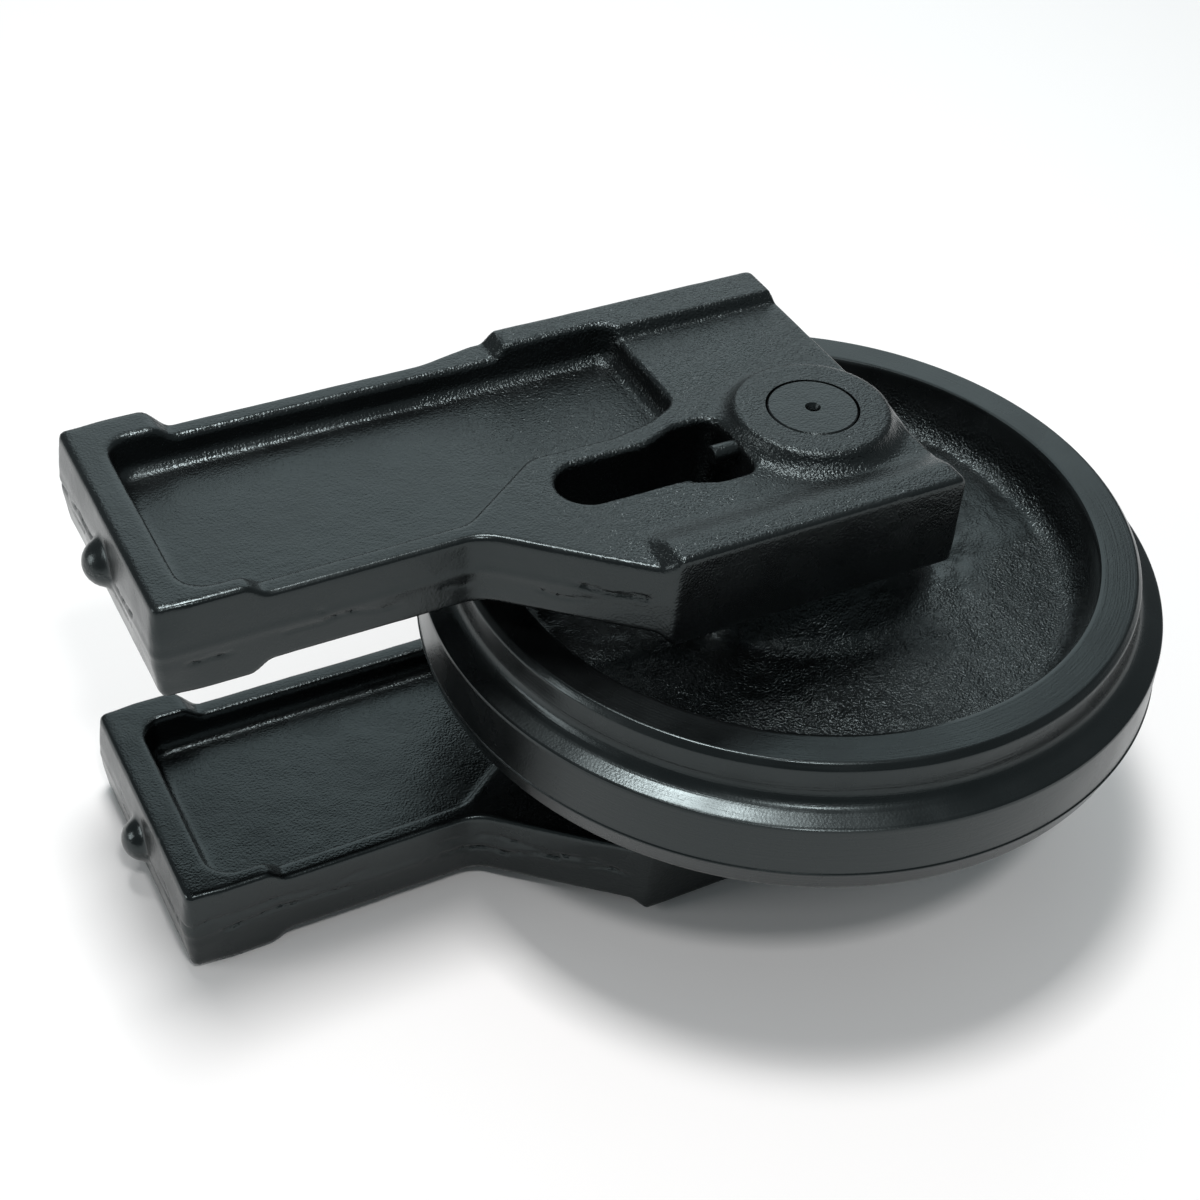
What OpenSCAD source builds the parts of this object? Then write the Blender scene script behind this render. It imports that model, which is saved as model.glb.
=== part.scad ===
// Front idler of a small tracked excavator, lying on its side as it is stored.
// A flanged track wheel turns on a fixed shaft between two forged side arms.
// Sizes are in millimetres. The origin is the wheel's centre, Z is the shaft's
// axis and the tails of the arms point along -X.

/* [Wheel] */
// Largest diameter, over the parting ridge of the centre flange
flange_d = 372; // [368:1:384]
// Diameter of the two treads beside the flange
tread_d = 339; // [330:1:345]
// Height of the upper rim face above the middle between the arms
rim_up = 46.5; // [42:0.5:50]
// Depth of the lower rim face below the middle between the arms
rim_low = 30; // [29:0.5:40]
// Inner diameter of the rim at its faces
rim_bore_d = 298; // [290:1:304]
// Height of the flange's upper edge above the middle between the arms
flange_up = 22.5; // [20:0.5:24]
// Depth of the flange's lower edge below the middle between the arms
flange_low = 17.5; // [15:0.5:19]
// Height of the web's upper face above the middle between the arms
web_up = 20; // [16:1:24]
// Depth of the web's lower face below the middle between the arms
web_low = 8; // [4:1:14]
// Diameter of the hub at its end faces
hub_d = 104; // [102:1:112]

/* [Shaft and lock pins] */
// Diameter of the shaft
shaft_d = 43; // [40:0.5:45]
// Length of the shaft
shaft_len = 230; // [226:1:236]
// Diameter of the centre drilling in the shaft ends
centre_d = 7.5; // [5:0.5:9]
// Diameter of the lock pins
lock_pin_d = 9; // [7:0.5:10]
// How far a lock pin stands out into the slot of its arm
lock_pin_out = 14; // [8:1:18]

/* [Side arms] */
// Distance from the wheel's centre to the middle of an arm's thickness
arm_mid = 88; // [86:0.5:92]
// Distance from the shaft's axis to the tail's end face
tail_x = 326; // [310:1:340]
// Thickness of the rails and the head plate
plate_t = 37; // [32:1:40]
// Thickness over the tail block and the two guides
block_t = 49; // [45:1:52]
// Thickness of the web at the bottom of the pockets
arm_web_t = 10; // [7:1:14]
// Near side of the tail
tail_near_y = 15.5; // [10:0.5:20]
// Far side of the tail block
tail_far_y = 123; // [118:1:128]
// Distance from the shaft's axis to the face of the near guide
near_guide_y = 73; // [70:1:78]
// Distance from the shaft's axis to the face of the far guide
far_guide_y = 121.5; // [118:0.5:126]
// Width of the rails beside the pockets
rail_w = 10.5; // [8:0.5:13]
// Half width of the narrow part of the slot
slot_r = 15; // [12:0.5:16]
// Diameter of the shaft boss at its outer face
boss_d = 74; // [70:1:78]
// Radius of the half ball on the tail's end face
nub_r = 11.5; // [8:0.5:12]

/* [Bearing and seals] */
// Wall thickness of the bearing bushes
bush_wall = 4.5; // [3.5:0.5:5]
// Length of the barrel of a bearing bush
bush_len = 36; // [28:1:37]
// Section diameter of the shaft's sealing rings
o_ring_d = 3.6; // [3:0.2:4]

/* [Fits] */
// Radial play of the wheel's bushes on the shaft
running_play = 0.05; // [0.02:0.01:0.08]
// Radial play of the shaft and the lock pins in the arms
seat_play = 0.02; // [0.01:0.01:0.04]
// End play between a bush collar and the nose of an arm
end_play = 0.4; // [0.3:0.1:0.6]

/* [Hidden] */
$fn = 96;
shaft_r = shaft_d / 2;
flange_r = flange_d / 2;
ridge_z = -4.5;
tread_r = tread_d / 2;
rim_bore_r = rim_bore_d / 2;
hub_r = hub_d / 2;
plate_h = plate_t / 2;
block_h = block_t / 2;
arm_web_h = arm_web_t / 2;
shaft_h = shaft_len / 2;
boss_top = shaft_h - arm_mid;
boss_r = boss_d / 2;
boss_foot_r = boss_r + 4;
pin_rise = boss_top / 2 + 1;
pin_z = arm_mid + pin_rise;
pin_left = -boss_foot_r - lock_pin_out + 1;
head_x = 40;
pin_right = head_x - 2;
bush_bore_r = shaft_r + running_play;
bush_r = shaft_r + bush_wall;
collar_r = bush_r + 5;
bush_z0 = 8;
bush_z1 = bush_z0 + bush_len;
collar_t = 4;
nose_z = bush_z1 + collar_t + end_play;
seal_z = nose_z + 11.6;
seal_in_r = collar_r + 1;
ramp = 15;
ring_w = 7;
seat_gap = 7;
ring_ramp_r = seal_in_r + ring_w;
seat_ramp_r = ring_ramp_r + seat_gap;
seal_lip_r = ring_ramp_r + 2;
toric_z = 6;
toric_r = seat_gap * cos(ramp) / 2 - 0.02;
toric_mid_r = (seat_ramp_r + ring_ramp_r) / 2 - (toric_z - 2) * tan(ramp);
face_gap = 0.1;
seat_depth = 10.5;
o_ring_z = nose_z + 28;
slot_x = -118;
rail_far_y = far_guide_y - 6;
pocket_far_y = rail_far_y - rail_w;
long = 2 * tail_x;
plug_y = 12.5;
plug_d = 8;
plug_len = 9;
plug_seat = 6;
drill_d = 4.5;
washer_d = 12;
washer_t = 1.2;

function unit(v) = v / norm(v);
function flat(p) = [p[0], p[1]];
function before(pts, i) = flat(pts[(i + len(pts) - 1) % len(pts)]);
function after(pts, i) = flat(pts[(i + 1) % len(pts)]);
function into(pts, i) = unit(before(pts, i) - flat(pts[i]));
function out(pts, i) = unit(after(pts, i) - flat(pts[i]));
function half_angle(pts, i) = acos(into(pts, i) * out(pts, i)) / 2;
function reach(pts, i) = pts[i][2] / tan(half_angle(pts, i));
function turn(pts, i) = out(pts, i)[0] * into(pts, i)[1] - out(pts, i)[1] * into(pts, i)[0];
function hollow(pts, i) = pts[i][2] > 0 && turn(pts, i) < 0;
function start(pts, i) = flat(pts[i]) + into(pts, i) * reach(pts, i);
function finish(pts, i) = flat(pts[i]) + out(pts, i) * reach(pts, i);
function centre(pts, i) = flat(pts[i])
    + unit(into(pts, i) + out(pts, i)) * pts[i][2] * (1 / sin(half_angle(pts, i)) - 0.005);
function filled(pts) = [for (i = [0:len(pts) - 1])
    each hollow(pts, i) ? [start(pts, i), finish(pts, i)] : [flat(pts[i])]];

// The sliver outside the circle that rounds an outer corner.
module sliver(pts, i) {
    c = centre(pts, i);
    t1 = start(pts, i);
    t2 = finish(pts, i);
    p = flat(pts[i]);
    difference() {
        polygon([c, t1 + unit(t1 - c) * 0.4, p + unit(p - c) * 0.6, t2 + unit(t2 - c) * 0.4]);
        translate(c) circle(pts[i][2]);
    }
}

// An outline through corners given anticlockwise as [x, y, rounding radius].
module rounded(pts) {
    difference() {
        polygon(filled(pts));
        for (i = [0:len(pts) - 1])
            if (hollow(pts, i))
                translate(centre(pts, i)) circle(pts[i][2]);
            else if (pts[i][2] > 0)
                sliver(pts, i);
    }
}

// Corners of one side of the wheel's section, from the flange's edge to the oil chamber,
// for a flange edge with its drop inside the largest radius and its rounding, a rim face
// and a web face, and a hollow of the given radius beside the flange.
function wheel_corners(edge, drop, edge_r, face, web, hollow_r) = [
    [flange_r - drop, edge, edge_r],
    [tread_r + 1.5, edge + 4, hollow_r],
    [tread_r, face - 3, 1],
    [tread_r - 2.5, face, 1],
    [rim_bore_r + 1.5, face, 0],
    [rim_bore_r, face - 1.5, 0],
    [rim_bore_r - 9, web, 12],
    [hub_r + 14, web, 12],
    [hub_r, seal_z - 8, 4],
    [hub_r, seal_z - 1, 1.5],
    [seat_ramp_r, seal_z - 1, 0],
    [seat_ramp_r, seal_z - 2, 0],
    [seat_ramp_r - (seat_depth - 2) * tan(ramp), seal_z - seat_depth, 0],
    [collar_r + 0.3, seal_z - seat_depth, 0],
    [collar_r + 0.3, bush_z1, 0],
    [bush_r, bush_z1, 0],
    [bush_r, bush_z0, 0],
    [collar_r - 1, bush_z0, 0]
];

module idler_wheel() {
    up = wheel_corners(flange_up, 1.5, 2, rim_up, web_up, 7);
    low = wheel_corners(flange_low, 4, 5, rim_low, web_low, 3);
    n = len(low);
    down = [for (i = [0:n - 1]) [low[n - 1 - i][0], -low[n - 1 - i][1], low[n - 1 - i][2]]];
    color([0.11, 0.12, 0.12])
    rotate_extrude() rounded(concat([[flange_r, ridge_z, 0]], up, down));
}

module bush() {
    color([0.72, 0.53, 0.26])
    rotate_extrude() polygon([
        [bush_bore_r, bush_z0],
        [bush_r, bush_z0],
        [bush_r, bush_z1],
        [collar_r, bush_z1],
        [collar_r, bush_z1 + collar_t],
        [bush_bore_r + 0.8, bush_z1 + collar_t],
        [bush_bore_r, bush_z1 + collar_t - 0.8]
    ]);
}

module bush_upper() {
    bush();
}

module bush_lower() {
    mirror([0, 0, 1]) bush();
}

module shaft() {
    color([0.14, 0.15, 0.15])
    difference() {
        rotate_extrude() polygon([
            [0, -shaft_h],
            [shaft_r - 0.6, -shaft_h],
            [shaft_r, -shaft_h + 0.6],
            [shaft_r, shaft_h - 0.6],
            [shaft_r - 0.6, shaft_h],
            [0, shaft_h]
        ]);
        // centre drilling with its 60 degree seat
        translate([0, 0, shaft_h - 9]) cylinder(d = centre_d * 0.55, h = 10);
        rotate_extrude() polygon([
            [0, shaft_h - centre_d * 0.87],
            [centre_d / 2, shaft_h],
            [centre_d / 2, shaft_h + 1],
            [0, shaft_h + 1]
        ]);
        // filling drilling from the lower end, beside the lock pin, to the oil chamber
        translate([0, plug_y, -shaft_h - 1]) cylinder(d = drill_d, h = shaft_h + 1);
        translate([0, plug_y, -shaft_h - 1]) cylinder(d = plug_d, h = plug_seat + plug_len + 3);
        translate([0, plug_y, -shaft_h - 1]) cylinder(d = washer_d + 0.5, h = plug_seat + 1);
        translate([0, plug_y, 0]) rotate([-90, 0, 0]) cylinder(d = drill_d, h = shaft_r);
        for (s = [-1, 1])
            translate([0, 0, s * pin_z]) rotate([0, 90, 0])
                cylinder(d = lock_pin_d + 2 * seat_play, h = shaft_d + 2, center = true);
    }
}

// Plan of an arm at the level of its rails and head plate.
module arm_plan() {
    rounded([
        [-tail_x, -tail_near_y, 5],
        [-178, -tail_near_y, 22],
        [-112, -near_guide_y, 4],
        [head_x, -near_guide_y, 5],
        [head_x, far_guide_y, 6],
        [-122, far_guide_y, 36],
        [-150, rail_far_y, 36],
        [-276, rail_far_y, 6],
        [-286, tail_far_y, 6],
        [-tail_x, tail_far_y, 5]
    ]);
}

// Plan of a pocket.
module pocket_plan() {
    rounded([
        [-tail_x + 18, -tail_near_y + rail_w, 13],
        [-180, -tail_near_y + rail_w, 14],
        [-135, 27, 14],
        [-92, 26.5, 20],
        [-70, 31, 10],
        [-52, 40, 10],
        [-52, pocket_far_y, 10],
        [-tail_x + 18, pocket_far_y, 11]
    ]);
}

// The slot, wide next to the shaft boss, with a round left end.
module slot() {
    linear_extrude(long, center = true) rounded([
        [slot_x, -slot_r, 0],
        [-80, -slot_r, 16],
        [-62, -slot_r - 7.5, 14],
        [-41.5, -slot_r - 7.5, 7],
        [-41.5, slot_r + 7.5, 7],
        [-62, slot_r + 7.5, 14],
        [-80, slot_r, 16],
        [slot_x, slot_r, 0]
    ]);
    translate([slot_x, 0, 0]) cylinder(r = slot_r + 0.05, h = long, center = true);
}

// Upright section along the arm: tail block, rails and plate, same both ways.
module tail_profile() {
    rounded([
        [-tail_x + 1.6, -block_h, 4],
        [-285, -block_h, 5],
        [-276, -plate_h, 5],
        [head_x, -plate_h, 0],
        [head_x, plate_h, 0],
        [-276, plate_h, 5],
        [-285, block_h, 5],
        [-tail_x + 1.6, block_h, 4],
        [-tail_x, 0, 0]
    ]);
}

// A guide: a bar with sloped ends, thicker than the plate.
module guide_profile(left) {
    rounded([
        [left - 7, -plate_h + 2, 0],
        [left, -block_h, 4],
        [head_x - 4, -block_h, 4],
        [head_x, -plate_h, 0],
        [head_x, plate_h, 0],
        [head_x - 4, block_h, 4],
        [left, block_h, 4],
        [left - 7, plate_h - 2, 0]
    ]);
}

module guide_section(outer, inner, foot) {
    s = sign(outer);
    polygon([
        [outer, -block_h + 2],
        [outer - s * 2, -block_h],
        [inner, -block_h],
        [foot, -plate_h + 1],
        [foot, plate_h - 1],
        [inner, block_h],
        [outer - s * 2, block_h],
        [outer, block_h - 2]
    ]);
}

module guide(left, outer, inner, foot) {
    intersection() {
        rotate([90, 0, 0]) linear_extrude(long, center = true) guide_profile(left);
        rotate([90, 0, 90]) linear_extrude(long, center = true) guide_section(outer, inner, foot);
        linear_extrude(long, center = true) arm_plan();
    }
}

// One arm with the middle of its thickness at height zero, wheel side down.
module arm() {
    nose = nose_z - arm_mid;
    face = seal_z + 1 - arm_mid;
    contact = seal_z - arm_mid;
    difference() {
        union() {
            intersection() {
                linear_extrude(long, center = true) arm_plan();
                rotate([90, 0, 0]) linear_extrude(long, center = true) tail_profile();
            }
            guide(-110, -near_guide_y, -near_guide_y + 15, -near_guide_y + 21);
            guide(-109, far_guide_y, far_guide_y - 22, far_guide_y - 24);
            // shaft boss: tapered outside, seal housing inside
            rotate_extrude() rounded([
                [0, face, 0],
                [hub_r, face, 2],
                [hub_r, -plate_h + 4, 0],
                [boss_foot_r, -plate_h + 4 + hub_r - boss_foot_r, 0],
                [boss_foot_r, plate_h, 0],
                [boss_r, boss_top, 1.2],
                [0, boss_top, 0]
            ]);
            translate([-tail_x + 1.5, (tail_far_y - tail_near_y) / 2, 0]) sphere(nub_r);
        }
        for (s = [0, 1])
            mirror([0, 0, s]) translate([0, 0, arm_web_h]) linear_extrude(long) pocket_plan();
        slot();
        // shaft bore with a broken edge, sealing ring groove and seal seat
        rotate_extrude() polygon([
            [0, nose - 20],
            [seat_ramp_r + 12, nose - 20],
            [seat_ramp_r + 12, face - 4],
            [seat_ramp_r, face - 4],
            [seat_ramp_r, contact + 2],
            [seat_ramp_r - (seat_depth - 2) * tan(ramp), contact + seat_depth],
            [collar_r - 1, contact + seat_depth],
            [collar_r - 1, nose],
            [shaft_r + seat_play, nose],
            [shaft_r + seat_play, boss_top - 0.8],
            [shaft_r + seat_play + 0.8, boss_top],
            [shaft_r + seat_play + 0.8, boss_top + 5],
            [0, boss_top + 5]
        ]);
        translate([0, 0, o_ring_z - arm_mid]) rotate_extrude()
            translate([shaft_r - 1, -o_ring_d * 0.65]) square([o_ring_d + 1.04, o_ring_d * 1.3]);
        translate([-boss_foot_r - 4, 0, pin_z - arm_mid]) rotate([0, 90, 0])
            cylinder(d = lock_pin_d + 2 * seat_play, h = 120);
    }
}

module arm_upper() {
    color([0.12, 0.13, 0.13]) translate([0, 0, arm_mid]) arm();
}

module arm_lower() {
    color([0.12, 0.13, 0.13]) mirror([0, 0, 1]) translate([0, 0, arm_mid]) arm();
}

// Turning half of a face seal; the fixed half is its mirror image.
module seal_ring() {
    color([0.55, 0.56, 0.57])
    translate([0, 0, seal_z]) rotate_extrude() polygon([
        [seal_in_r, -seat_depth + 0.7],
        [ring_ramp_r - (seat_depth - 2.7) * tan(ramp), -seat_depth + 0.7],
        [ring_ramp_r, -2],
        [seal_lip_r, -2],
        [seal_lip_r, -face_gap / 2],
        [seal_in_r + 4, -face_gap / 2],
        [seal_in_r, -face_gap / 2 - 0.6]
    ]);
}

module toric_ring() {
    color([0.05, 0.05, 0.05])
    translate([0, 0, seal_z - toric_z]) rotate_extrude() translate([toric_mid_r, 0]) circle(toric_r);
}

module seal_flip() {
    translate([0, 0, 2 * seal_z]) mirror([0, 0, 1]) children();
}

module seal_ring_turning_upper() {
    seal_ring();
}

module seal_ring_turning_lower() {
    mirror([0, 0, 1]) seal_ring();
}

module seal_ring_fixed_upper() {
    seal_flip() seal_ring();
}

module seal_ring_fixed_lower() {
    mirror([0, 0, 1]) seal_flip() seal_ring();
}

module toric_ring_turning_upper() {
    toric_ring();
}

module toric_ring_turning_lower() {
    mirror([0, 0, 1]) toric_ring();
}

module toric_ring_fixed_upper() {
    seal_flip() toric_ring();
}

module toric_ring_fixed_lower() {
    mirror([0, 0, 1]) seal_flip() toric_ring();
}

module lock_pin() {
    color([0.2, 0.2, 0.2])
    translate([0, 0, pin_z]) rotate([0, 90, 0]) rotate_extrude() polygon([
        [0, pin_left],
        [lock_pin_d / 2 - 0.7, pin_left],
        [lock_pin_d / 2, pin_left + 0.7],
        [lock_pin_d / 2, pin_right - 0.7],
        [lock_pin_d / 2 - 0.7, pin_right],
        [0, pin_right]
    ]);
}

module lock_pin_upper() {
    lock_pin();
}

module lock_pin_lower() {
    mirror([0, 0, 1]) lock_pin();
}

module shaft_o_ring() {
    color([0.05, 0.05, 0.05])
    translate([0, 0, o_ring_z]) rotate_extrude()
        translate([shaft_r + o_ring_d / 2 + 0.02, 0]) circle(d = o_ring_d);
}

module shaft_o_ring_upper() {
    shaft_o_ring();
}

module shaft_o_ring_lower() {
    mirror([0, 0, 1]) shaft_o_ring();
}

module oil_plug() {
    color([0.45, 0.46, 0.46])
    translate([0, plug_y, -shaft_h + plug_seat]) difference() {
        union() {
            translate([0, 0, -5]) cylinder(d = washer_d - 1, h = 5 - washer_t);
            translate([0, 0, -2]) cylinder(d = plug_d - 2 * seat_play, h = plug_len + 2);
        }
        translate([0, 0, -6]) cylinder(d = 5.8, h = 4.4, $fn = 6);
    }
}

module oil_plug_washer() {
    color([0.72, 0.4, 0.22])
    translate([0, plug_y, -shaft_h + plug_seat - washer_t]) difference() {
        cylinder(d = washer_d, h = washer_t);
        translate([0, 0, -1]) cylinder(d = plug_d + 0.3, h = washer_t + 2);
    }
}

idler_wheel();
bush_upper();
bush_lower();
shaft();
arm_upper();
arm_lower();
seal_ring_turning_upper();
seal_ring_turning_lower();
seal_ring_fixed_upper();
seal_ring_fixed_lower();
toric_ring_turning_upper();
toric_ring_turning_lower();
toric_ring_fixed_upper();
toric_ring_fixed_lower();
lock_pin_upper();
lock_pin_lower();
shaft_o_ring_upper();
shaft_o_ring_lower();
oil_plug();
oil_plug_washer();
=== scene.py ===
"""Looks of a front idler for a small tracked excavator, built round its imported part.

Each forged arm is an implicit surface: a distance field with real corner and edge radii, sampled
on a box grid and netted into quads. The cast wheel is a lathe grid with the unevenness of its
casting pushed into the skin. The turned and moulded inner pieces stay as they are in the frame.
Sizes are in millimetres and become metres when a mesh is made.
"""

import math

import bpy
import bmesh
import numpy as np
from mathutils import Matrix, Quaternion, Vector


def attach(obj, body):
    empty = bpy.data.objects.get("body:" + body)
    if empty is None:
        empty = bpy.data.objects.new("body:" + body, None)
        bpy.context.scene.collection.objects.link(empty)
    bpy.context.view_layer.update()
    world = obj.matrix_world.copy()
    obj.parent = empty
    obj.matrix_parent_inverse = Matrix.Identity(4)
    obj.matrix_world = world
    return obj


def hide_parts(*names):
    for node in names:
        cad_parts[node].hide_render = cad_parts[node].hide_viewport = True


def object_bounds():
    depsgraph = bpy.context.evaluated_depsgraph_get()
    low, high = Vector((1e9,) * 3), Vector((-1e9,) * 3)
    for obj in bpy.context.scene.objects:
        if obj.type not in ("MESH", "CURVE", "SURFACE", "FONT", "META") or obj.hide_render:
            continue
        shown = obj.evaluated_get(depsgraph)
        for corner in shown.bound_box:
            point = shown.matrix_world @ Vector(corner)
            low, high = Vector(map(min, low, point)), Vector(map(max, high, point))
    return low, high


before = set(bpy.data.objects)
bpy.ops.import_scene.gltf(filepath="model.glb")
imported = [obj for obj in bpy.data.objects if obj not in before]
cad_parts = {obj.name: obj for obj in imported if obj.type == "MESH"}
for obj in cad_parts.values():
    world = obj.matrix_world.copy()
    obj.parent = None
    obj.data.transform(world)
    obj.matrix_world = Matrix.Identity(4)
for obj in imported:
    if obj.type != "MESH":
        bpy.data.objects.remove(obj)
cad_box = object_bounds()
MM = 0.001

# Wheel
FLANGE_R = 186.0
RIDGE_Z = -4.5
FLANGE_UP = 22.5
FLANGE_LOW = 17.5
TREAD_R = 169.5
RIM_UP = 46.5
RIM_LOW = 30.0
RIM_BORE_R = 149.0
RIM_LEAN = 9.0
WEB_UP = 20.0
WEB_LOW = 8.0
DISH_FILLET = 12.0
HUB_R = 52.0
HUB_FLARE = 14.0
SEAL_Z = 60.0
SEAT_R = 46.0
SEAT_FOOT_R = 43.7
SEAT_DEPTH = 10.5
COLLAR_R = 31.3
BUSH_R = 26.0
BUSH_Z0 = 8.0
BUSH_Z1 = 44.0
CHAMBER_R = 30.0
WHEEL_STEPS = 414
CAST_STEP = 1.5
SHADING_GUARD = 0.7

# Arms
ARM_MID = 88.0
TAIL_X = 326.0
HEAD_X = 40.0
PLATE_H = 18.5
BLOCK_H = 24.5
ARM_WEB_H = 5.0
NEAR_GUIDE_X = -112.0
NEAR_GUIDE_Y = 73.0
FAR_GUIDE_X = -122.0
FAR_GUIDE_Y = 121.5
CRANK_X = -178.0
TAIL_BLOCK_X = -276.0
TAIL_NEAR_Y = 15.5
TAIL_FAR_Y = 123.0
RAIL_FAR_Y = FAR_GUIDE_Y - 6
RAIL_W = 10.5
POCKET_X0 = -TAIL_X + 18
POCKET_X1 = -52.0
SLOT_R = 15.0
SLOT_X = -118.0
SLOT_MOUTH_X = -41.5
SLOT_FLARE = 7.5
BOSS_R = 37.0
BOSS_FOOT_R = BOSS_R + 4
BOSS_TOP = 27.0
HOUSING_FACE = SEAL_Z + 1 - ARM_MID
HOUSING_STEP = 4.0
NOSE_R = 30.5
NOSE_Z = 48.4
NUB_R = 11.5
NUB_Y = 53.75
NUB_SINK = 1.5
SHAFT_BORE_R = 21.52
BORE_EDGE_W = 0.9
PIN_BORE_R = 4.52
PIN_RISE = BOSS_TOP / 2 + 1

# Radii that the forging dies leave
EDGE_R = 2.3
LIP_R = 2.6
SLOT_LIP_R = 2.4
POCKET_FOOT_R = 5.5
BOSS_FOOT_FILLET = 6.0
BOSS_EDGE_R = 1.8
HOUSING_EDGE_R = 2.0
HOUSING_FILLET = 4.0
NUB_FILLET = 2.5

# Slopes that let the forging out of its dies, as shares of the height
DIE_DRAFT = 0.035
END_DRAFT = 0.08
END_DRAFT_X = -305.0
END_LAND_H = 8.0
POCKET_DRAFT = 0.12

# Grid that the arms are netted on
GRID_SPLIT_X = -140.0
GRID_HEAD = 1.5
GRID_TAIL = 1.8
GRID_Y = 1.5
GRID_Z = 1.25

# Camera, found by fitting the rim and the arm edges in the photograph
IMAGE_PX = 1200
FOCAL_PX = 2025.8
SENSOR_MM = 36.0
CAMERA_PLACE = (-476.0, -633.7, 658.5)
CAMERA_AZIMUTH = -30.16
CAMERA_ELEVATION = 40.49
CAMERA_ROLL = 4.14


# Noise

LATTICE = 64


def lattice_noise(points, pitch, seed):
    """Random values on a cubic lattice of that pitch, blended with smoothstep weights; -1 to 1."""
    table = np.random.default_rng(seed).uniform(-1, 1, (LATTICE,) * 3)
    spot = points / pitch
    low = np.floor(spot).astype(int)
    part = spot - low
    part = part * part * (3 - 2 * part)
    total = np.zeros(len(points))
    for corner in np.ndindex(2, 2, 2):
        at = (low + corner) % LATTICE
        weight = np.prod(np.where(corner, part, 1 - part), axis=1)
        total += weight * table[at[:, 0], at[:, 1], at[:, 2]]
    return total


def fractal_noise(points, pitch, seed, octaves=3):
    """Lattice noise summed over octaves, each at half the pitch and half the height of the last."""
    layers = [lattice_noise(points, pitch / 2 ** i, seed + i) / 2 ** i for i in range(octaves)]
    return sum(layers)


def smooth(t):
    """Smoothstep: 0 below 0, 1 above 1, with level ends."""
    t = np.clip(t, 0, 1)
    return t * t * (3 - 2 * t)


# Outlines

def rounded_outline(corners, step=1.5):
    """Closed outline through corners (x, y, radius): each corner is an arc tangent to its two edges."""
    table = np.array(corners, float)
    place, radii = table[:, :2], table[:, 2]
    points = []
    for i, (corner, r) in enumerate(zip(place, radii)):
        if r <= 0:
            points.append(corner[None])
            continue
        back = place[i - 1] - corner
        ahead = place[(i + 1) % len(place)] - corner
        back /= np.linalg.norm(back)
        ahead /= np.linalg.norm(ahead)
        half = math.acos(np.clip(back @ ahead, -1, 1)) / 2
        middle = (back + ahead) / np.linalg.norm(back + ahead)
        centre = corner + middle * r / math.sin(half)
        first = corner + back * r / math.tan(half) - centre
        sweep = math.pi - 2 * half
        turn = math.copysign(1, first[0] * -middle[1] - first[1] * -middle[0])
        count = max(3, int(sweep * r / step) + 2)
        angle = math.atan2(first[1], first[0]) + turn * np.linspace(0, sweep, count)
        points.append(centre + r * np.column_stack([np.cos(angle), np.sin(angle)]))
    return np.concatenate(points)


def outline_distance(outline, x, y):
    """Signed distance to a closed outline, negative inside: the nearest of its edges gives the size,
    and the number of edges crossed by a ray along +X gives the sign."""
    a = outline
    b = np.roll(outline, -1, axis=0)
    shape = np.broadcast_shapes(x.shape, y.shape)
    px = np.broadcast_to(x, shape).reshape(1, -1)
    py = np.broadcast_to(y, shape).reshape(1, -1)
    ax, ay = a[:, :1], a[:, 1:]
    ex, ey = b[:, :1] - ax, b[:, 1:] - ay
    along = np.clip(((px - ax) * ex + (py - ay) * ey) / (ex ** 2 + ey ** 2), 0, 1)
    gap = np.hypot(px - ax - along * ex, py - ay - along * ey).min(axis=0)
    straddles = (ay > py) != (ay + ey > py)
    meets = ax + (py - ay) * ex / np.where(ey == 0, 1e-9, ey)
    inside = np.sum(straddles & (px < meets), axis=0) % 2 == 1
    return np.where(inside, -gap, gap).reshape(shape)


# Fields

def round_cut(a, b, r):
    """What lies in both fields, with a convex edge of radius r where their faces meet."""
    return np.minimum(np.maximum(a, b), -r) + np.hypot(np.maximum(a + r, 0), np.maximum(b + r, 0))


def round_join(a, b, r):
    """What lies in either field, with a concave fillet of radius r where their faces meet."""
    return np.maximum(np.minimum(a, b), r) - np.hypot(np.maximum(r - a, 0), np.maximum(r - b, 0))


ARM_PLAN = rounded_outline([
    (-TAIL_X, -TAIL_NEAR_Y, 5),
    (CRANK_X, -TAIL_NEAR_Y, 22),
    (NEAR_GUIDE_X, -NEAR_GUIDE_Y, 4),
    (HEAD_X, -NEAR_GUIDE_Y, 5),
    (HEAD_X, FAR_GUIDE_Y, 6),
    (FAR_GUIDE_X, FAR_GUIDE_Y, 30),
    (FAR_GUIDE_X - 28, RAIL_FAR_Y, 30),
    (TAIL_BLOCK_X, RAIL_FAR_Y, 6),
    (TAIL_BLOCK_X - 10, TAIL_FAR_Y, 6),
    (-TAIL_X, TAIL_FAR_Y, 5),
])
POCKET_PLAN = rounded_outline([
    (POCKET_X0, -TAIL_NEAR_Y + RAIL_W, 13),
    (CRANK_X - 2, -TAIL_NEAR_Y + RAIL_W, 14),
    (-135, 27, 14),
    (-92, 26.5, 20),
    (-70, 31, 10),
    (POCKET_X1, 40, 10),
    (POCKET_X1, RAIL_FAR_Y - RAIL_W, 10),
    (POCKET_X0, RAIL_FAR_Y - RAIL_W, 11),
])
SLOT_PLAN = rounded_outline([
    (SLOT_X - SLOT_R, -SLOT_R, SLOT_R - 0.02),
    (-80, -SLOT_R, 16),
    (-62, -SLOT_R - SLOT_FLARE, 14),
    (SLOT_MOUTH_X, -SLOT_R - SLOT_FLARE, 7),
    (SLOT_MOUTH_X, SLOT_R + SLOT_FLARE, 7),
    (-62, SLOT_R + SLOT_FLARE, 14),
    (-80, SLOT_R, 16),
    (SLOT_X - SLOT_R, SLOT_R, SLOT_R - 0.02),
])


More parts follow.
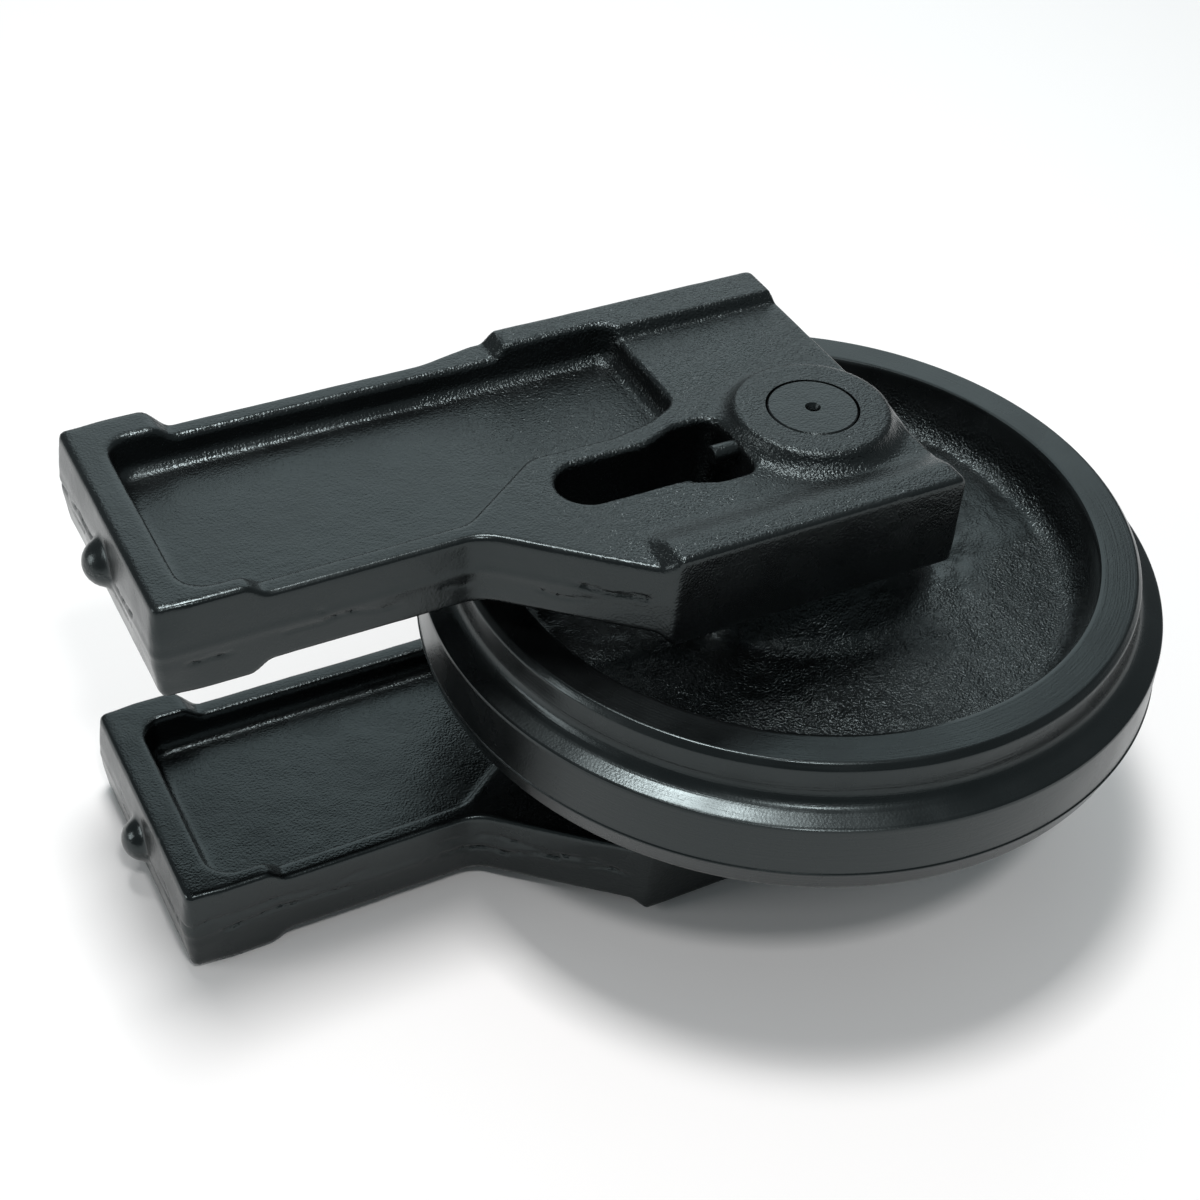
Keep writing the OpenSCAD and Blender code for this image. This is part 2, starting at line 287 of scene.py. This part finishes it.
def raised_share(x, y):
    """How far the tail block and the two guides stand above the plate, from 0 to 1: smoothsteps along X
    at their ends and along Y at the guides' inner sides, the near one long and the far one steep."""
    tail = smooth((TAIL_BLOCK_X + 1 - x) / 11)
    end = smooth((HEAD_X + 1 - x) / 5)
    near = smooth((x - (NEAR_GUIDE_X - 6)) / 9) * smooth((-NEAR_GUIDE_Y + 33 - y) / 22) * end
    far = smooth((x - (FAR_GUIDE_X + 5)) / 9) * smooth((y - FAR_GUIDE_Y + 25) / 4) * end
    return np.maximum(tail, np.maximum(near, far))


def arm_field(x, y, z):
    """Distance field of one arm with its outer face up and the middle of its thickness at zero: the plan
    cut by the top, joined with the boss, the seal housing and the half ball, less pockets and slot.
    The factors of cone and taper bring their slopes back to distances."""
    up = np.abs(z)
    draft = DIE_DRAFT * smooth((FAR_GUIDE_X - x) / 20)
    end_draft = END_DRAFT * smooth((END_DRAFT_X - x) / 14) * np.maximum(up - END_LAND_H, 0)
    plan = outline_distance(ARM_PLAN, x, y) + draft * (up - BLOCK_H) + end_draft
    top = up - PLATE_H - (BLOCK_H - PLATE_H) * raised_share(x, y)
    field = round_cut(plan, top, EDGE_R)
    radius = np.hypot(x, y)
    boss_slope = (BOSS_FOOT_R - BOSS_R) / (BOSS_TOP - PLATE_H)
    cone = (radius - BOSS_FOOT_R + (z - PLATE_H) * boss_slope) * 0.93
    boss = np.maximum(round_cut(cone, z - BOSS_TOP, BOSS_EDGE_R), -z)
    field = round_join(field, boss, BOSS_FOOT_FILLET)
    housing = round_cut(radius - HUB_R, HOUSING_FACE - z, HOUSING_EDGE_R)
    taper = (radius - HUB_R + z + PLATE_H - HOUSING_STEP) * 0.707
    field = round_join(field, np.maximum(housing, taper), HOUSING_FILLET)
    pocket_plan = outline_distance(POCKET_PLAN, x, y)
    for side in (1, -1):
        wall = pocket_plan + POCKET_DRAFT * (PLATE_H - side * z)
        pocket = round_cut(wall, ARM_WEB_H - side * z, POCKET_FOOT_R)
        field = round_cut(field, -pocket, LIP_R)
    field = round_cut(field, -outline_distance(SLOT_PLAN, x, y), SLOT_LIP_R)
    nub = np.sqrt((x + TAIL_X - NUB_SINK) ** 2 + (y - NUB_Y) ** 2 + z ** 2) - NUB_R
    return round_join(field, nub, NUB_FILLET)


def net_surface(field, axes):
    """Surface net of the field's zero level: one vertex in each cell that the level crosses, at the
    mean of the crossings on the cell's edges, and one quad round each grid edge that it crosses."""
    cells = tuple(n - 1 for n in field.shape)
    count = np.zeros(cells)
    total = np.zeros((3,) + cells)
    edges = []
    for axis in range(3):
        order = (axis, (axis + 1) % 3, (axis + 2) % 3)
        turned = field.transpose(order)
        low, high = turned[:-1], turned[1:]
        cross = (low < 0) != (high < 0)
        share = np.where(cross, low / np.where(cross, low - high, 1), 0)
        along = axes[order[0]]
        start = along[:-1, None, None]
        spot = [start + share * np.diff(along)[:, None, None],
                axes[order[1]][None, :, None] + 0 * share,
                axes[order[2]][None, None, :] + 0 * share]
        count_turned = count.transpose(order)
        for i, j in np.ndindex(2, 2):
            window = (slice(None), slice(i, i + count_turned.shape[1]), slice(j, j + count_turned.shape[2]))
            count_turned += cross[window]
            for k in range(3):
                total[order[k]].transpose(order)[...] += (cross * spot[k])[window]
        edges.append((order, cross, low))
    used = count > 0
    number = np.full(cells, -1)
    number[used] = np.arange(used.sum())
    points = (total[:, used] / count[used]).T
    quads = []
    for order, cross, low in edges:
        ids = number.transpose(order)
        i, j, k = np.nonzero(cross[:, 1:-1, 1:-1])
        j, k = j + 1, k + 1
        quad = np.column_stack([ids[i, j - 1, k - 1], ids[i, j, k - 1], ids[i, j, k], ids[i, j - 1, k]])
        inward = low[i, j, k] >= 0
        quad[inward] = quad[inward][:, ::-1]
        quads.append(quad)
    return points, np.concatenate(quads)


# Meshes

def mesh_of(name, points, quads):
    """Mesh from points in millimetres and rows of four corner numbers, smooth shaded."""
    mesh = bpy.data.meshes.new(name)
    mesh.vertices.add(len(points))
    mesh.vertices.foreach_set("co", (np.asarray(points) * MM).astype(np.float32).ravel())
    mesh.loops.add(quads.size)
    mesh.loops.foreach_set("vertex_index", quads.astype(np.int32).ravel())
    mesh.polygons.add(len(quads))
    mesh.polygons.foreach_set("loop_start", np.arange(0, quads.size, 4, dtype=np.int32))
    mesh.update(calc_edges=True)
    mesh.shade_smooth()
    return mesh


def add_object(mesh):
    """Object at the origin that shows the mesh."""
    obj = bpy.data.objects.new(mesh.name, mesh)
    bpy.context.scene.collection.objects.link(obj)
    return obj


def corner_normals(points, quads):
    """Unit normals at the points: the sum of the cross products of the diagonals of their quads."""
    face = np.cross(points[quads[:, 2]] - points[quads[:, 0]], points[quads[:, 3]] - points[quads[:, 1]])
    normal = np.zeros_like(points)
    for column in range(4):
        np.add.at(normal, quads[:, column], face)
    return normal / np.maximum(np.linalg.norm(normal, axis=1, keepdims=True), 1e-9)


def grid_quads(rows, columns):
    """Quads of a grid of points closed both ways, row by row."""
    i, j = np.meshgrid(np.arange(rows), np.arange(columns), indexing="ij")
    a = i * columns + j
    b = i * columns + (j + 1) % columns
    c = (i + 1) % rows * columns + (j + 1) % columns
    d = (i + 1) % rows * columns + j
    return np.column_stack([q.ravel() for q in (a, b, c, d)])


def lathe(profile, steps):
    """Points (r cos t, r sin t, z) of a closed profile of (r, z) turned round Z in equal steps."""
    t = np.linspace(0, 2 * np.pi, steps, endpoint=False)[:, None]
    r, z = profile[:, 0][None], profile[:, 1][None]
    points = np.stack([r * np.cos(t), r * np.sin(t), z + 0 * t], axis=2)
    return points.reshape(-1, 3), grid_quads(steps, len(profile))


def set_attribute(mesh, name, values):
    """One number at each point of the mesh, for the material to read."""
    attribute = mesh.attributes.new(name, "FLOAT", "POINT")
    attribute.data.foreach_set("value", np.asarray(values, np.float32))


def points_of(mesh):
    """The mesh's points as an array in millimetres."""
    flat = np.empty(len(mesh.vertices) * 3, np.float32)
    mesh.vertices.foreach_get("co", flat)
    return flat.reshape(-1, 3).astype(float) / MM


# Arms

def arm_grid():
    """Grid lines along X, Y and Z with a small margin round the arm: closer together at the head, where
    the curves are tighter."""
    xs = np.concatenate([np.arange(-TAIL_X - 12, GRID_SPLIT_X, GRID_TAIL),
                         np.arange(GRID_SPLIT_X, HUB_R + 4, GRID_HEAD)])
    ys = np.arange(-NEAR_GUIDE_Y - 2.4, TAIL_FAR_Y + 3, GRID_Y)
    zs = np.arange(HOUSING_FACE - 2.1, BOSS_TOP + 2.5, GRID_Z)
    return xs, ys, zs


def die_wall(x, y):
    """Where the side walls show the line of the dies: the tail and the rails, but not the flat guides."""
    return smooth((outline_distance(ARM_PLAN, x, y) + 2.2) / 1.0) * smooth((-116 - x) / 8)


def parting_marks(points, seed):
    """Torn places along the line where the dies met, 0 to 1: ragged runs on the outer side walls, and
    a fainter row of them a little lower down."""
    x, y, z = points.T
    run = np.column_stack([x, y, 0 * x])
    ragged = 0.65 + 0.35 * lattice_noise(points, 3.2, seed + 9)
    marks = 0
    for level, share, width, row in ((1.0, 1.0, 1.3, seed), (-6.0, 0.5, 1.0, seed + 40)):
        wander = 2.4 * fractal_noise(run, 22, row)
        torn = smooth((fractal_noise(run, 19, row + 5) + 0.1) / 0.3)
        marks = marks + share * torn * np.exp(-((z - level - wander) / width) ** 2)
    return die_wall(x, y) * ragged * marks


def forged_skin(points, normals, seed):
    """Unevenness of a forged face: slow waves, hammer-like dents, a raised flash line and torn marks."""
    x, y, z = points.T
    wave = 0.16 * fractal_noise(points, 46, seed)
    dent = 0.09 * fractal_noise(points, 11, seed + 10)
    flash = 0.35 * die_wall(x, y) * np.exp(-(z / 2.2) ** 2)
    lift = wave + dent + flash - 1.8 * parting_marks(points, seed + 20)
    level = smooth((np.hypot(x, y) - 34) / 10) * smooth((x + TAIL_X + 3) / 3)
    return points + normals * (lift * level)[:, None]


def peel_share(points, seed):
    """How strongly the paint's orange peel shows: 1 on the head, less on the tail and the walls, and up to
    1.6 in the torn marks."""
    x, y = points[:, 0], points[:, 1]
    head = smooth((x + 175) / 60)
    wall = smooth((outline_distance(ARM_PLAN, x, y) + 3.5) / 1.5)
    faces = (0.4 + 0.6 * head) * (1 - 0.65 * wall)
    return np.maximum(faces, 1.6 * parting_marks(points, seed + 20))


def bore_cutter(name, profile, steps=160):
    """Solid of revolution whose profile starts and ends on the axis, for cutting bores."""
    points, quads = lathe(np.array(profile, float), steps)
    mesh = mesh_of(name, points, quads)
    work = bmesh.new()
    work.from_mesh(mesh)
    bmesh.ops.remove_doubles(work, verts=work.verts, dist=1e-6)
    axis_faces = [f for f in work.faces if f.calc_area() < 1e-12]
    bmesh.ops.delete(work, geom=axis_faces, context="FACES_ONLY")
    bmesh.ops.recalc_face_normals(work, faces=work.faces)
    work.to_mesh(mesh)
    work.free()
    return add_object(mesh)


def cut_away(obj, cutters):
    """Subtracts the cutters from the object's mesh and removes them."""
    for cutter in cutters:
        cut = obj.modifiers.new("bore", "BOOLEAN")
        cut.operation = "DIFFERENCE"
        cut.solver = "EXACT"
        cut.object = cutter
    graph = bpy.context.evaluated_depsgraph_get()
    mesh = bpy.data.meshes.new_from_object(obj.evaluated_get(graph))
    obj.modifiers.clear()
    old = obj.data
    name = old.name
    obj.data = mesh
    bpy.data.meshes.remove(old)
    mesh.name = name
    for cutter in cutters:
        bpy.data.objects.remove(cutter)


def arm_bores():
    """Cutters for one arm: shaft bore with a broken edge, seal seat and lock pin bore."""
    below, above = -60, BOSS_TOP + 6
    seat_lip = SEAL_Z + 2 - ARM_MID
    seat_face = SEAL_Z + SEAT_DEPTH - ARM_MID
    nose_face = NOSE_Z - ARM_MID
    edge_r = SHAFT_BORE_R + BORE_EDGE_W
    shaft = bore_cutter("shaft_bore", [
        (0, below), (SEAT_R, below), (SEAT_R, seat_lip), (SEAT_FOOT_R, seat_face), (NOSE_R, seat_face),
        (NOSE_R, nose_face), (SHAFT_BORE_R, nose_face), (SHAFT_BORE_R, BOSS_TOP - 2.6),
        (edge_r, BOSS_TOP - 1.4), (edge_r, above), (0, above)])
    left, right = SLOT_MOUTH_X - 4.5, HEAD_X + 20
    pin = bore_cutter("pin_bore", [(0, left), (PIN_BORE_R, left), (PIN_BORE_R, right), (0, right)], 48)
    along_x = Quaternion((0, 1, 0), math.pi / 2).to_matrix().to_4x4()
    along_x.translation = Vector((0, 0, PIN_RISE * MM))
    pin.data.transform(along_x)
    return [shaft, pin]


def build_arm(name, net, hand, seed):
    """One arm from the netted field: forged skin, bores, then moved to its side of the wheel."""
    points, quads = net
    skin = forged_skin(points, corner_normals(points, quads), seed)
    arm = add_object(mesh_of(name, skin, quads))
    cut_away(arm, arm_bores())
    local = points_of(arm.data)
    x, y, z = local.T
    placed = np.column_stack([x, y, hand * (z + ARM_MID)]) * MM
    arm.data.vertices.foreach_set("co", placed.astype(np.float32).ravel())
    set_attribute(arm.data, "peel", peel_share(local, seed))
    if hand < 0:
        arm.data.flip_normals()
    arm.data.update()
    arm.data.set_sharp_from_angle(angle=math.radians(38))
    return arm


# Wheel

def wheel_side(edge, drop, edge_r, face, web, hollow_r):
    """Corners (r, z, radius) of one side of the wheel's section, from flange to oil chamber."""
    return [
        (FLANGE_R - drop, edge, edge_r), (TREAD_R + 1.5, edge + 4, hollow_r),
        (TREAD_R, face - 3, 2), (TREAD_R - 2.5, face, 1.2),
        (RIM_BORE_R + 0.2, face, 2.2), (RIM_BORE_R - RIM_LEAN, web, DISH_FILLET),
        (HUB_R + HUB_FLARE, web, DISH_FILLET), (HUB_R, SEAL_Z - 8, 4), (HUB_R, SEAL_Z - 1, 1.5),
        (SEAT_R, SEAL_Z - 1, 0), (SEAT_R, SEAL_Z - 2, 0),
        (SEAT_FOOT_R, SEAL_Z - SEAT_DEPTH, 0), (COLLAR_R, SEAL_Z - SEAT_DEPTH, 0),
        (COLLAR_R, BUSH_Z1, 0), (BUSH_R, BUSH_Z1, 0), (BUSH_R, BUSH_Z0, 0), (CHAMBER_R, BUSH_Z0, 0),
    ]


def is_cast(r, z):
    """Whether a point of the section lies on the rough skin of the dish, the web or the hub."""
    return HUB_R < r < RIM_BORE_R - 0.5 and 0 < z < RIM_UP - 0.5


def resampled(outline):
    """Outline with points added along its cast edges at an even step, and two points near the ends of each
    long turned edge, which keep the shading of flat faces flat."""
    ahead = np.roll(outline, -1, axis=0)
    runs = []
    for a, b in zip(outline, ahead):
        length = np.linalg.norm(b - a)
        if is_cast(*((a + b) / 2)):
            share = np.linspace(0, 1, max(1, int(round(length / CAST_STEP))), endpoint=False)
        elif length > 3 * SHADING_GUARD:
            share = np.array([0, SHADING_GUARD / length, 1 - SHADING_GUARD / length])
        else:
            share = np.zeros(1)
        runs.append(a + (b - a) * share[:, None])
    return np.concatenate(runs)


def wheel_profile():
    """Closed section of the wheel, finer where its cast skin is uneven."""
    up = wheel_side(edge=FLANGE_UP, drop=1.5, edge_r=1.6, face=RIM_UP, web=WEB_UP, hollow_r=9)
    mirrored = wheel_side(edge=FLANGE_LOW, drop=4, edge_r=5, face=RIM_LOW, web=WEB_LOW, hollow_r=3)
    low = [(r, -z, corner_r) for r, z, corner_r in reversed(mirrored)]
    ridge = [(FLANGE_R - 0.6, RIDGE_Z - 0.9, 0), (FLANGE_R, RIDGE_Z - 0.3, 0), (FLANGE_R, RIDGE_Z + 0.3, 0),
             (FLANGE_R - 0.6, RIDGE_Z + 0.9, 0)]
    return resampled(rounded_outline(ridge + up + low, step=1.6))


def cast_share(points):
    """Share of the rough cast skin: the dish, the web and the hub, but not the turned rim and flange."""
    r = np.hypot(points[:, 0], points[:, 1])
    return smooth((RIM_BORE_R - 0.5 - r) / 4) * smooth((r - HUB_R + 1) / 3)


def sandy_share(points):
    """How much sand stuck to the cast skin, 0 to 1: over one side of the dish in a ragged patch, and all
    along the foot of the rim's wall."""
    r = np.hypot(points[:, 0], points[:, 1])
    patch = smooth((30 * fractal_noise(points, 50, 45) - points[:, 1] - 25) / 30)
    foot = np.exp(-((r - RIM_BORE_R + 8) / 5) ** 2)
    return cast_share(points) * (0.22 + 0.78 * np.maximum(patch, foot))


def cast_skin(points, normals):
    """Sand-cast unevenness: broad swells, lumps and grit, stronger round the foot of the hub."""
    r = np.hypot(points[:, 0], points[:, 1])
    share = cast_share(points)
    foot = np.exp(-((r - 84) / 22) ** 2)
    swell = 0.9 * fractal_noise(points, 42, 31)
    lump = (0.28 + 0.3 * foot) * fractal_noise(points, 11, 35)
    grit = (0.10 + 0.22 * foot) * fractal_noise(points, 4.2, 39)
    sand = 0.3 * sandy_share(points) * lattice_noise(points, 2.4, 49)
    return points + normals * (share * (swell + lump + grit + sand))[:, None]


def build_wheel():
    """The wheel: its section turned round Z, with the cast skin pushed in and out along the normals."""
    points, inward_quads = lathe(wheel_profile(), WHEEL_STEPS)
    quads = inward_quads[:, ::-1]
    skin = cast_skin(points, corner_normals(points, quads))
    wheel = add_object(mesh_of("wheel_casting", skin, quads))
    set_attribute(wheel.data, "sand", sandy_share(points))
    wheel.data.set_sharp_from_angle(angle=math.radians(35))
    return wheel


# Materials

def linear(code):
    """Linear red, green, blue and alpha of an sRGB hex code such as 1d2021."""
    value = np.array([int(code[i:i + 2], 16) for i in (0, 2, 4)]) / 255
    low = value <= 0.04045
    return (*np.where(low, value / 12.92, ((value + 0.055) / 1.055) ** 2.4), 1.0)


def new_material(name):
    """A material with one Principled shader; returns it, its tree and the shader."""
    material = bpy.data.materials.new(name)
    material.use_nodes = True
    tree = material.node_tree
    return material, tree, tree.nodes["Principled BSDF"]


def node(tree, kind, inputs=(), **settings):
    """Adds a node, sets its properties, and gives each named or numbered input a value or a link."""
    made = tree.nodes.new(kind)
    for key, value in settings.items():
        setattr(made, key, value)
    for key, value in dict(inputs).items():
        if isinstance(value, bpy.types.NodeSocket):
            tree.links.new(value, made.inputs[key])
        else:
            made.inputs[key].default_value = value
    return made


def per_metre(size_mm):
    """Texture scale at which one pattern cell is about that size."""
    return 1000.0 / size_mm


def turned_rings(tree, coords, height_mm):
    """Bump of the fine rings that a lathe leaves, each broken off after a few centimetres. Real ones are
    about 0.3 mm apart; these are drawn at 0.8 mm, so that they show."""
    place = node(tree, "ShaderNodeSeparateXYZ", {0: coords}).outputs
    flat = node(tree, "ShaderNodeCombineXYZ", {0: place[0], 1: place[1]}).outputs[0]
    radius = node(tree, "ShaderNodeVectorMath", {0: flat}, operation="LENGTH").outputs["Value"]
    slow = node(tree, "ShaderNodeMath", {0: place[0], 1: 0.03}, operation="MULTIPLY").outputs[0]
    spun = node(tree, "ShaderNodeCombineXYZ", {0: radius, 1: place[2], 2: slow}).outputs[0]
    rings = node(tree, "ShaderNodeTexNoise", {"Vector": spun, "Scale": per_metre(0.8), "Detail": 1.0})
    return node(tree, "ShaderNodeBump", {"Strength": 1.0, "Distance": height_mm * MM,
                                         "Height": rings.outputs["Fac"]}).outputs[0]


def black_paint(name, peel_height_mm, attribute=None, plain=0.0, ring_height_mm=None):
    """Sprayed black machine enamel over rough metal: a glossy film with an orange peel of about a
    millimetre that breaks a highlight into sparkles, and slightly duller patches here and there.
    The mesh's attribute sets the height of the peel: at 0 it has the share plain of its full height."""
    material, tree, shader = new_material(name)
    coords = node(tree, "ShaderNodeTexCoord").outputs["Object"]
    patches = node(tree, "ShaderNodeTexNoise", {"Vector": coords, "Scale": per_metre(30), "Detail": 5.0})
    peel = node(tree, "ShaderNodeTexNoise", {"Vector": coords, "Scale": per_metre(1.2), "Detail": 1.5})
    pits = node(tree, "ShaderNodeTexNoise", {"Vector": coords, "Scale": per_metre(6), "Detail": 3.0})
    colour = node(tree, "ShaderNodeMix",
                  {0: patches.outputs["Fac"], 6: linear("060707"), 7: linear("0d0e0f")}, data_type="RGBA")
    rough = node(tree, "ShaderNodeMapRange", {0: patches.outputs["Fac"], 1: 0.3, 2: 0.7, 3: 0.20, 4: 0.32})
    height = node(tree, "ShaderNodeMath", {0: pits.outputs["Fac"], 1: 0.6, 2: peel.outputs["Fac"]},
                  operation="MULTIPLY_ADD").outputs[0]
    bump = node(tree, "ShaderNodeBump",
                {"Strength": 1.0, "Distance": peel_height_mm * MM, "Height": height})
    if attribute:
        mask = node(tree, "ShaderNodeAttribute", attribute_name=attribute).outputs["Fac"]
        share = node(tree, "ShaderNodeMapRange", {0: mask, 3: plain, 4: 1.0}, clamp=False)
        tree.links.new(share.outputs[0], bump.inputs["Strength"])
    if ring_height_mm:
        tree.links.new(turned_rings(tree, coords, ring_height_mm), bump.inputs["Normal"])
    tree.links.new(colour.outputs[2], shader.inputs["Base Color"])
    tree.links.new(rough.outputs[0], shader.inputs["Roughness"])
    tree.links.new(bump.outputs[0], shader.inputs["Normal"])
    shader.inputs["IOR"].default_value = 1.5
    shader.inputs["Specular Tint"].default_value = linear("ecfdff")
    return material


def plain_metal(name, colour, dark, roughness, ring_mm):
    """Turned or lapped metal: even colour with rings of tool marks and a few dull patches. The rings are
    drawn a few millimetres apart, coarser than real ones, so that they show."""
    material, tree, shader = new_material(name)
    coords = node(tree, "ShaderNodeTexCoord").outputs["Object"]
    dull = node(tree, "ShaderNodeTexNoise", {"Vector": coords, "Scale": per_metre(14), "Detail": 5.0})
    tint = node(tree, "ShaderNodeMix", {0: dull.outputs["Fac"], 6: linear(colour), 7: linear(dark)},
                data_type="RGBA")
    # A wave texture turns by twenty radians in one unit of scale.
    marks = node(tree, "ShaderNodeTexWave", {"Vector": coords, "Scale": per_metre(ring_mm) * math.tau / 20,
                                             "Distortion": 0.6}, bands_direction="Z")
    bump = node(tree, "ShaderNodeBump", {"Strength": 0.4, "Distance": 0.02 * MM,
                                         "Height": marks.outputs["Fac"]})
    tree.links.new(tint.outputs[2], shader.inputs["Base Color"])
    tree.links.new(bump.outputs[0], shader.inputs["Normal"])
    shader.inputs["Metallic"].default_value = 1.0
    shader.inputs["Roughness"].default_value = roughness
    return material


def moulded_rubber(name):
    """Moulded nitrile rubber: matt black with a faint bloom."""
    material, tree, shader = new_material(name)
    coords = node(tree, "ShaderNodeTexCoord").outputs["Object"]
    bloom = node(tree, "ShaderNodeTexNoise", {"Vector": coords, "Scale": per_metre(5), "Detail": 3.0})
    tint = node(tree, "ShaderNodeMix", {0: bloom.outputs["Fac"], 6: linear("121213"), 7: linear("1d1d1e")},
                data_type="RGBA")
    tree.links.new(tint.outputs[2], shader.inputs["Base Color"])
    shader.inputs["Roughness"].default_value = 0.6
    return material


FORGING_PAINT = black_paint("enamel_on_forging", peel_height_mm=0.55, attribute="peel")
CASTING_PAINT = black_paint("enamel_on_casting", peel_height_mm=1.2, attribute="sand", plain=0.05,
                            ring_height_mm=0.06)
TURNED_PAINT = black_paint("enamel_on_turned_steel", peel_height_mm=0.3)
BRONZE = plain_metal("turned_bronze", "b98a4a", "8f6a38", roughness=0.32, ring_mm=3.8)
SEAL_IRON = plain_metal("lapped_cast_iron", "8d8e90", "6c6d6f", roughness=0.25, ring_mm=3.1)
PLUG_STEEL = plain_metal("zinc_plated_steel", "a9abad", "8b8d90", roughness=0.35, ring_mm=5.0)
COPPER = plain_metal("annealed_copper", "b87350", "94563a", roughness=0.34, ring_mm=4.4)
RUBBER = moulded_rubber("moulded_nitrile")

# Finish of the pieces shown as they are in the frame, by the start of their names
NODE_FINISH = {
    "bush": BRONZE,
    "seal_ring": SEAL_IRON,
    "toric_ring": RUBBER,
    "shaft_o_ring": RUBBER,
    "oil_plug": PLUG_STEEL,
    "oil_plug_washer": COPPER,
    "shaft": TURNED_PAINT,
    "lock_pin": TURNED_PAINT,
}


def dress(obj, material):
    """The object shows only this material."""
    obj.data.materials.clear()
    obj.data.materials.append(material)


# The object

grid = arm_grid()
net = net_surface(arm_field(*np.meshgrid(*grid, indexing="ij", sparse=True)), grid)
for side, hand, seed in (("upper", 1, 101), ("lower", -1, 201)):
    arm = build_arm(f"arm_{side}_forging", net, hand, seed)
    dress(arm, FORGING_PAINT)
    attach(arm, "frame_arms")
    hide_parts(f"arm_{side}")

wheel = build_wheel()
dress(wheel, CASTING_PAINT)
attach(wheel, "wheel")
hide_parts("idler_wheel")

for name, cad_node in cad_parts.items():
    starts = [start for start in NODE_FINISH if name.startswith(start)]
    if starts:
        dress(cad_node, NODE_FINISH[max(starts, key=len)])


# Stage

def pale_floor(level):
    """A wide matt floor under the object."""
    half = 6.0
    corners = [(-half, -half, level), (half, -half, level), (half, half, level), (-half, half, level)]
    mesh = bpy.data.meshes.new("floor")
    mesh.from_pydata(corners, [], [(0, 1, 2, 3)])
    floor = add_object(mesh)
    material, _, shader = new_material("matt_white_floor")
    shader.inputs["Base Color"].default_value = linear("fbf8f7")
    shader.inputs["Roughness"].default_value = 0.7
    floor.data.materials.append(material)


def soft_box(name, place, target, size, power, colour="ffffff"):
    """A rectangular lamp at a place in metres, facing the target."""
    lamp = bpy.data.lights.new(name, "AREA")
    lamp.shape = "RECTANGLE"
    lamp.size, lamp.size_y = size
    lamp.energy = power
    lamp.color = linear(colour)[:3]
    obj = bpy.data.objects.new(name, lamp)
    obj.location = place
    obj.rotation_mode = "QUATERNION"
    obj.rotation_quaternion = (Vector(target) - Vector(place)).to_track_quat("-Z", "Y")
    bpy.context.scene.collection.objects.link(obj)


def set_camera():
    """Camera at the fitted place, looking along its azimuth and elevation with its small roll."""
    data = bpy.data.cameras.new("camera")
    data.sensor_width = SENSOR_MM
    data.lens = FOCAL_PX / IMAGE_PX * SENSOR_MM
    data.clip_end = 50
    camera = bpy.data.objects.new("camera", data)
    a, e = math.radians(CAMERA_AZIMUTH), math.radians(CAMERA_ELEVATION)
    back = Vector((math.sin(a) * math.cos(e), -math.cos(a) * math.cos(e), math.sin(e)))
    camera.location = Vector(CAMERA_PLACE) * MM
    camera.rotation_mode = "QUATERNION"
    roll = Quaternion((0, 0, 1), math.radians(CAMERA_ROLL))
    camera.rotation_quaternion = (-back).to_track_quat("-Z", "Y") @ roll
    bpy.context.scene.collection.objects.link(camera)
    bpy.context.scene.camera = camera


def set_world(colour, strength):
    """Even light from all round."""
    world = bpy.data.worlds.new("studio")
    world.use_nodes = True
    sky = world.node_tree.nodes["Background"]
    sky.inputs["Color"].default_value = linear(colour)
    sky.inputs["Strength"].default_value = strength
    bpy.context.scene.world = world


pale_floor(cad_box[0].z)
set_world("e8f6fa", 0.25)
soft_box("overhead", (-0.1, 0.38, 2.6), (0, 0, 0), (0.6, 0.6), 46)
soft_box("back", (1.0, 2.3, 1.55), (0, 0, 0.1), (2.6, 2.2), 21, "e9f7fa")
soft_box("left", (-2.4, 0.5, 0.7), (-0.2, 0, 0), (0.9, 0.9), 13)
soft_box("front_high", (-0.4, -1.4, 2.4), (0, 0, 0), (0.3, 0.3), 18)
set_camera()
bpy.context.scene.view_settings.view_transform = "Standard"
